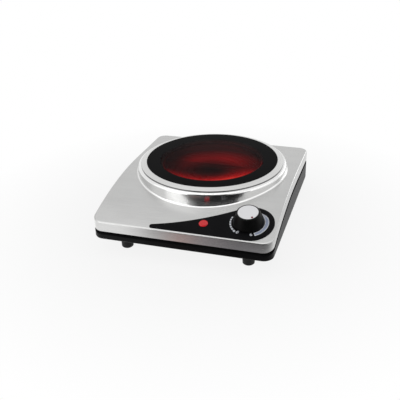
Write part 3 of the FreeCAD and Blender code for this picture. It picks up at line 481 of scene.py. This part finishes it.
# Every material slot: those with a finish of their own, and the plain moulded ones
FINISHES = {
    "brushed_cover": brushed_cover,
    "brushed_ring": brushed_ring,
    "dark_glass": dark_glass,
    "seal_fibre": seal_fibre,
    "plain_steel": plain_steel,
    "insulation": insulation,
    "coil_ribbon": coil_ribbon,
    "quartz": quartz,
    "brass": brass,
    "zinc_fasteners": zinc_fasteners,
    "black_base": black_base,
    "silver_cap": silver_cap,
    "red_lens": red_lens,
}
MOULDED = {
    "white_ceramic": dict(dark=(0.66, 0.63, 0.57), light=(0.74, 0.71, 0.66), rough=0.4),
    "white_plastic": dict(dark=(0.70, 0.70, 0.68), light=(0.78, 0.78, 0.76), rough=0.4),
    "black_rubber": dict(dark=(0.007, 0.007, 0.007), light=(0.011, 0.011, 0.011), rough=0.6, specular=0.25),
    "black_panel": dict(dark=(0.006, 0.006, 0.007), light=(0.009, 0.009, 0.010), rough=0.4, specular=0.03,
                        grain=0.3 * MM, depth=0.01 * MM),
    "black_knob": dict(dark=(0.004, 0.004, 0.004), light=(0.006, 0.006, 0.006), rough=0.36, specular=0.08),
    "red_mark": dict(dark=(0.20, 0.001, 0.008), light=(0.26, 0.002, 0.012), rough=0.4, specular=0.1),
    "brown_wire": dict(dark=(0.10, 0.035, 0.012), light=(0.14, 0.05, 0.018), rough=0.4),
    "blue_wire": dict(dark=(0.01, 0.06, 0.30), light=(0.015, 0.09, 0.40), rough=0.4),
    "green_wire": dict(dark=(0.03, 0.22, 0.03), light=(0.35, 0.40, 0.03), rough=0.4),
}


def dress_nodes():
    """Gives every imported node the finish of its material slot."""
    made = {slot: make() for slot, make in FINISHES.items()}
    for slot, look in MOULDED.items():
        made[slot] = moulded(slot, **look)
    for entry in frame["record"]["subparts"]:
        mesh = nodes[entry["node"]].data
        mesh.materials.clear()
        mesh.materials.append(made[entry["material_slot"]])


# Printed dial scale
def panel_spot(radius, angle, lift):
    """A point on the curved panel, by its distance and direction from the dial's axis."""
    x = KNOB.x + radius * math.cos(angle)
    y = KNOB.y + radius * math.sin(angle) * math.cos(KNOB_LEAN)
    surface = ROLL_RADIUS + PANEL_SHEET + lift
    return Vector((x, y, ROLL_CENTRE.z + math.sqrt(surface ** 2 - (y - ROLL_CENTRE.y) ** 2)))


def piece(name, made, material):
    """Turns a bmesh into a piece that rides on the body."""
    bmesh.ops.recalc_face_normals(made, faces=made.faces)
    mesh = bpy.data.meshes.new(name)
    made.to_mesh(mesh)
    made.free()
    mesh.materials.append(material)
    thing = bpy.data.objects.new(name, mesh)
    bpy.context.scene.collection.objects.link(thing)
    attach(thing, "body")


def arc_band(made, start, end, inner, outer, lift):
    """A thin printed band round the dial. Its two radii are functions of the share of its length."""
    steps = max(2, math.ceil(abs(end - start) / ARC_STEP))
    sections = []
    for step in range(steps + 1):
        share = step / steps
        angle = start + (end - start) * share
        near_radius, far_radius = inner(share), outer(share)
        corners = ((near_radius, -INK_SINK), (far_radius, -INK_SINK), (far_radius, lift), (near_radius, lift))
        sections.append([made.verts.new(panel_spot(radius, angle, height)) for radius, height in corners])
    for near, far in zip(sections, sections[1:]):
        for side in range(4):
            after = (side + 1) % 4
            made.faces.new((near[side], near[after], far[after], far[side]))
    made.faces.new(sections[0])
    made.faces.new(sections[-1])


def even(radius):
    """A radius that stays the same along a band."""
    return lambda share: radius


def low_scale(ink):
    """A beaded arc that grows from the back of the dial round its left side."""
    pitch = (LOW_END - LOW_START) / BEADS
    made = bmesh.new()
    for bead in range(BEADS):
        start = LOW_START + bead * pitch
        end = start + BEAD_LENGTH * pitch
        half = BEAD_HALF + BEAD_GROWTH * bead / (BEADS - 1)
        arc_band(made, start, end, even(SCALE_RADIUS - half), even(SCALE_RADIUS + half), INK)
    piece("low_scale", made, ink)


def taper(share, at_point, at_end):
    """A radius of the high band, which widens from its point."""
    rise = min(1.0, share / TAPER_SHARE)
    return at_point + (at_end - at_point) * math.sin(rise * math.pi / 2)


def high_band(name, finish, margin, lift):
    """A band that starts from a point at the back and ends square at the front, drawn in by a margin."""
    def inset(share):
        return margin * min(1.0, share / FILL_INSET_SHARE)

    turn = margin / SCALE_RADIUS
    made = bmesh.new()
    arc_band(made, HIGH_START - turn * FILL_POINT_GAP, HIGH_END + turn,
             lambda share: taper(share, POINT_RADII[0], END_RADII[0]) + inset(share),
             lambda share: taper(share, POINT_RADII[1], END_RADII[1]) - inset(share), lift)
    piece(name, made, finish)


def high_scale(ink, tint):
    """A white band on the right of the dial, with a pale blue fill printed on it."""
    high_band("high_scale", ink, 0.0, INK)
    high_band("high_scale_fill", tint, FILL_MARGIN, 2 * INK)


def digit(name, text, angle, ink):
    """A printed figure on the panel, its top towards the dial."""
    words = bpy.data.curves.new(name, "FONT")
    words.body = text
    words.size = FIGURE_SIZE
    words.offset = FIGURE_WEIGHT
    words.align_x = "CENTER"
    words.align_y = "CENTER"
    writing = bpy.data.objects.new(name, words)
    flat = bpy.data.meshes.new_from_object(writing)
    bpy.data.objects.remove(writing)
    made = bmesh.new()
    made.from_mesh(flat)
    bpy.data.meshes.remove(flat)
    top = bmesh.ops.extrude_face_region(made, geom=made.faces[:])["geom"]
    raised = {vert for vert in top if isinstance(vert, bmesh.types.BMVert)}
    for vert in made.verts:
        across, along = vert.co.x, vert.co.y
        radius = FIGURE_RADIUS - along
        vert.co = panel_spot(radius, angle + across / radius, INK if vert in raised else -INK_SINK)
    piece(name, made, ink)


def dial_scale():
    ink = moulded("white_ink", (0.80, 0.83, 0.90), (0.86, 0.89, 0.94), rough=0.5, specular=0.3)
    tint = moulded("pale_ink", (0.42, 0.48, 0.66), (0.48, 0.54, 0.70), rough=0.5, specular=0.3)
    low_scale(ink)
    high_scale(ink, tint)
    digit("low_figure", "0", LOW_FIGURE, ink)
    digit("high_figure", "6", HIGH_FIGURE, ink)


# Camera
def camera():
    level = math.cos(CAMERA_ELEVATION)
    right = Vector((math.cos(CAMERA_AZIMUTH), math.sin(CAMERA_AZIMUTH), 0.0))
    ahead = Vector((-math.sin(CAMERA_AZIMUTH) * level, math.cos(CAMERA_AZIMUTH) * level,
                    -math.sin(CAMERA_ELEVATION)))
    up = right.cross(ahead)
    turned_right = right * math.cos(CAMERA_ROLL) + up * math.sin(CAMERA_ROLL)
    turned_up = up * math.cos(CAMERA_ROLL) - right * math.sin(CAMERA_ROLL)
    lens = bpy.data.cameras.new("camera")
    lens.sensor_width = SENSOR_WIDTH
    lens.lens = FOCAL_PIXELS / PICTURE_PIXELS * SENSOR_WIDTH
    lens.clip_start = 0.01
    eye = bpy.data.objects.new("camera", lens)
    turn = Matrix((turned_right, turned_up, -ahead)).transposed().to_4x4()
    eye.matrix_world = Matrix.Translation(CAMERA_PLACE) @ turn
    bpy.context.scene.collection.objects.link(eye)
    bpy.context.scene.camera = eye


# Studio
def softbox(name, place, aim, width, height, radiance):
    """A soft rectangular lamp of this brightness, turned towards a point."""
    lamp = bpy.data.lights.new(name, "AREA")
    lamp.shape = "RECTANGLE"
    lamp.size = width
    lamp.size_y = height
    lamp.energy = radiance * width * height * math.pi
    holder = bpy.data.objects.new(name, lamp)
    holder.location = place
    holder.rotation_mode = "QUATERNION"
    holder.rotation_quaternion = (Vector(aim) - Vector(place)).to_track_quat("-Z", "Y")
    holder.visible_camera = False
    bpy.context.scene.collection.objects.link(holder)


def white_where_seen(tree):
    """1 for the rays that see the background directly, in metal or through glass."""
    path = tree.nodes.new("ShaderNodeLightPath")
    total = None
    for ray in ("Is Camera Ray", "Is Glossy Ray", "Is Transmission Ray"):
        output = path.outputs[ray]
        if total is not None:
            both = tree.nodes.new("ShaderNodeMath")
            both.operation = "MAXIMUM"
            tree.links.new(total, both.inputs[0])
            tree.links.new(output, both.inputs[1])
            output = both.outputs[0]
        total = output
    return total


def world():
    """White where it is seen, and a softer even light on the surfaces."""
    sky = bpy.data.worlds.new("studio")
    sky.use_nodes = True
    tree = sky.node_tree
    background = tree.nodes["Background"]
    background.inputs["Color"].default_value = grey(1.0)
    strength = tree.nodes.new("ShaderNodeMapRange")
    strength.inputs["To Min"].default_value = SOFT_WORLD
    strength.inputs["To Max"].default_value = 1.0
    tree.links.new(white_where_seen(tree), strength.inputs["Value"])
    tree.links.new(strength.outputs[0], background.inputs["Strength"])
    bpy.context.scene.world = sky


def floor():
    """Pale floor that keeps the shadow near the part and turns white further out."""
    mesh = bpy.data.meshes.new("floor")
    made = bmesh.new()
    bmesh.ops.create_circle(made, cap_ends=True, segments=FLOOR_SIDES, radius=FLOOR_RADIUS)
    made.to_mesh(mesh)
    made.free()
    ground = bpy.data.objects.new("floor", mesh)
    bpy.context.scene.collection.objects.link(ground)
    pale = Finish("floor", {"Base Color": grey(FLOOR_TONE), "Roughness": 0.9, "Specular IOR Level": 0.0})
    tree = pale.tree
    white = tree.nodes.new("ShaderNodeEmission")
    length = pale.node("VectorMath", pale.position(), operation="LENGTH").node.outputs["Value"]
    fade = pale.span(length, FLOOR_WHITE_NEAR, 1.0, *FLOOR_FADE)
    share = pale.math("MULTIPLY", fade, white_where_seen(tree))
    blend = tree.nodes.new("ShaderNodeMixShader")
    tree.links.new(share, blend.inputs[0])
    tree.links.new(pale.shader.outputs[0], blend.inputs[1])
    tree.links.new(white.outputs[0], blend.inputs[2])
    tree.links.new(blend.outputs[0], tree.nodes["Material Output"].inputs["Surface"])
    mesh.materials.append(pale.material)


def card(name, first, last, profile, finish):
    """A card round the front, with this profile of radius and height. Only reflections show it."""
    mesh = bpy.data.meshes.new(name)
    made = bmesh.new()
    rows = []
    for step in range(CARD_STEPS + 1):
        angle = math.radians(first + (last - first) * step / CARD_STEPS)
        rows.append([made.verts.new((r * math.cos(angle), r * math.sin(angle), z)) for r, z in profile])
    for near, far in zip(rows, rows[1:]):
        for spot in range(len(profile) - 1):
            made.faces.new((near[spot], near[spot + 1], far[spot + 1], far[spot]))
    made.to_mesh(mesh)
    made.free()
    mesh.materials.append(finish.material)
    sheet = bpy.data.objects.new(name, mesh)
    bpy.context.scene.collection.objects.link(sheet)
    sheet.visible_camera = False
    sheet.visible_diffuse = False
    sheet.visible_shadow = False


def card_turn(finish, x, y, first, last):
    """How far round a card a place is, from 0 at its first angle to 1 at its last."""
    return finish.span(finish.math("ARCTAN2", y, x), 0.0, 1.0, math.radians(first), math.radians(last))


def floor_card():
    """A card on the floor in front, bright at its left, which darkens to the right and further out."""
    first, last = -180.0, -20.0

    def share(degrees):
        return (degrees - first) / (last - first)

    ground = Finish("floor_card", MATT_BLACK)
    x, y, _ = ground.split(ground.position())
    turn = card_turn(ground, x, y, first, last)
    colours = {
        -120.0: (1.0, 1.0, 1.0),
        -106.0: (0.57, 0.56, 0.56),
        -96.0: (0.465, 0.34, 0.325),
        -86.0: (0.29, 0.265, 0.275),
        -74.0: (0.21, 0.2, 0.21),
        -66.0: (0.22, 0.21, 0.22),
        -35.0: (0.75, 0.75, 0.75),
    }
    stops = [(share(degrees), colour) for degrees, colour in colours.items()]
    ground.drive("Emission Color", ground.ramp(turn, *stops))
    near = ground.span(ground.hypot(x, y), CARD_NEAR_LIGHT, CARD_FAR_LIGHT, *CARD_FADE)
    left = ground.span(turn, CARD_LEFT_LIGHT, 0.0, share(-112.0), share(-104.0))
    ground.drive("Emission Strength", ground.math("MAXIMUM", near, left))
    card("floor_card", first, last, ((0.13, CARD_LIFT), (0.5, CARD_LIFT), (1.0, CARD_LIFT)), ground)


def dark_wall():
    """A wall behind the camera, dark but for its ends."""
    first, last = -109.0, -43.0
    bright, dark = (1.0, 1.0, 1.0), (0.03, 0.03, 0.031)
    wall = Finish("dark_wall", {**MATT_BLACK, "Emission Strength": 1.0})
    x, y, _ = wall.split(wall.position())
    turn = card_turn(wall, x, y, first, last)
    wall.drive("Emission Color", wall.ramp(turn, (0.0, bright), (0.2, dark), (0.8, dark), (1.0, bright)))
    card("dark_wall", first, last, ((1.0, 0.003), (1.05, 0.10), (1.05, 0.75)), wall)


def studio():
    """White surroundings with soft lamps. The low strip is there for the collar's wall."""
    world()
    floor()
    floor_card()
    dark_wall()
    softbox("overhead", (-0.10, -0.45, 0.95), (0.0, -0.05, 0.05), width=1.6, height=1.4, radiance=0.5)
    softbox("left_box", (-0.91, -0.88, 0.65), PART_MIDDLE, width=1.7, height=1.3, radiance=0.35)
    softbox("left_strip", (-0.65, -0.95, 0.13), COLLAR_MIDDLE, width=0.65, height=0.2, radiance=1.95)
    softbox("right_box", (1.15, 0.0, 0.60), PART_MIDDLE, width=1.4, height=0.7, radiance=0.35)
    softbox("back_box", (0.60, 1.05, 0.28), PART_MIDDLE, width=0.65, height=0.35, radiance=1.4)
    bpy.context.scene.view_settings.view_transform = "Standard"


dress_nodes()
dial_scale()
camera()
studio()
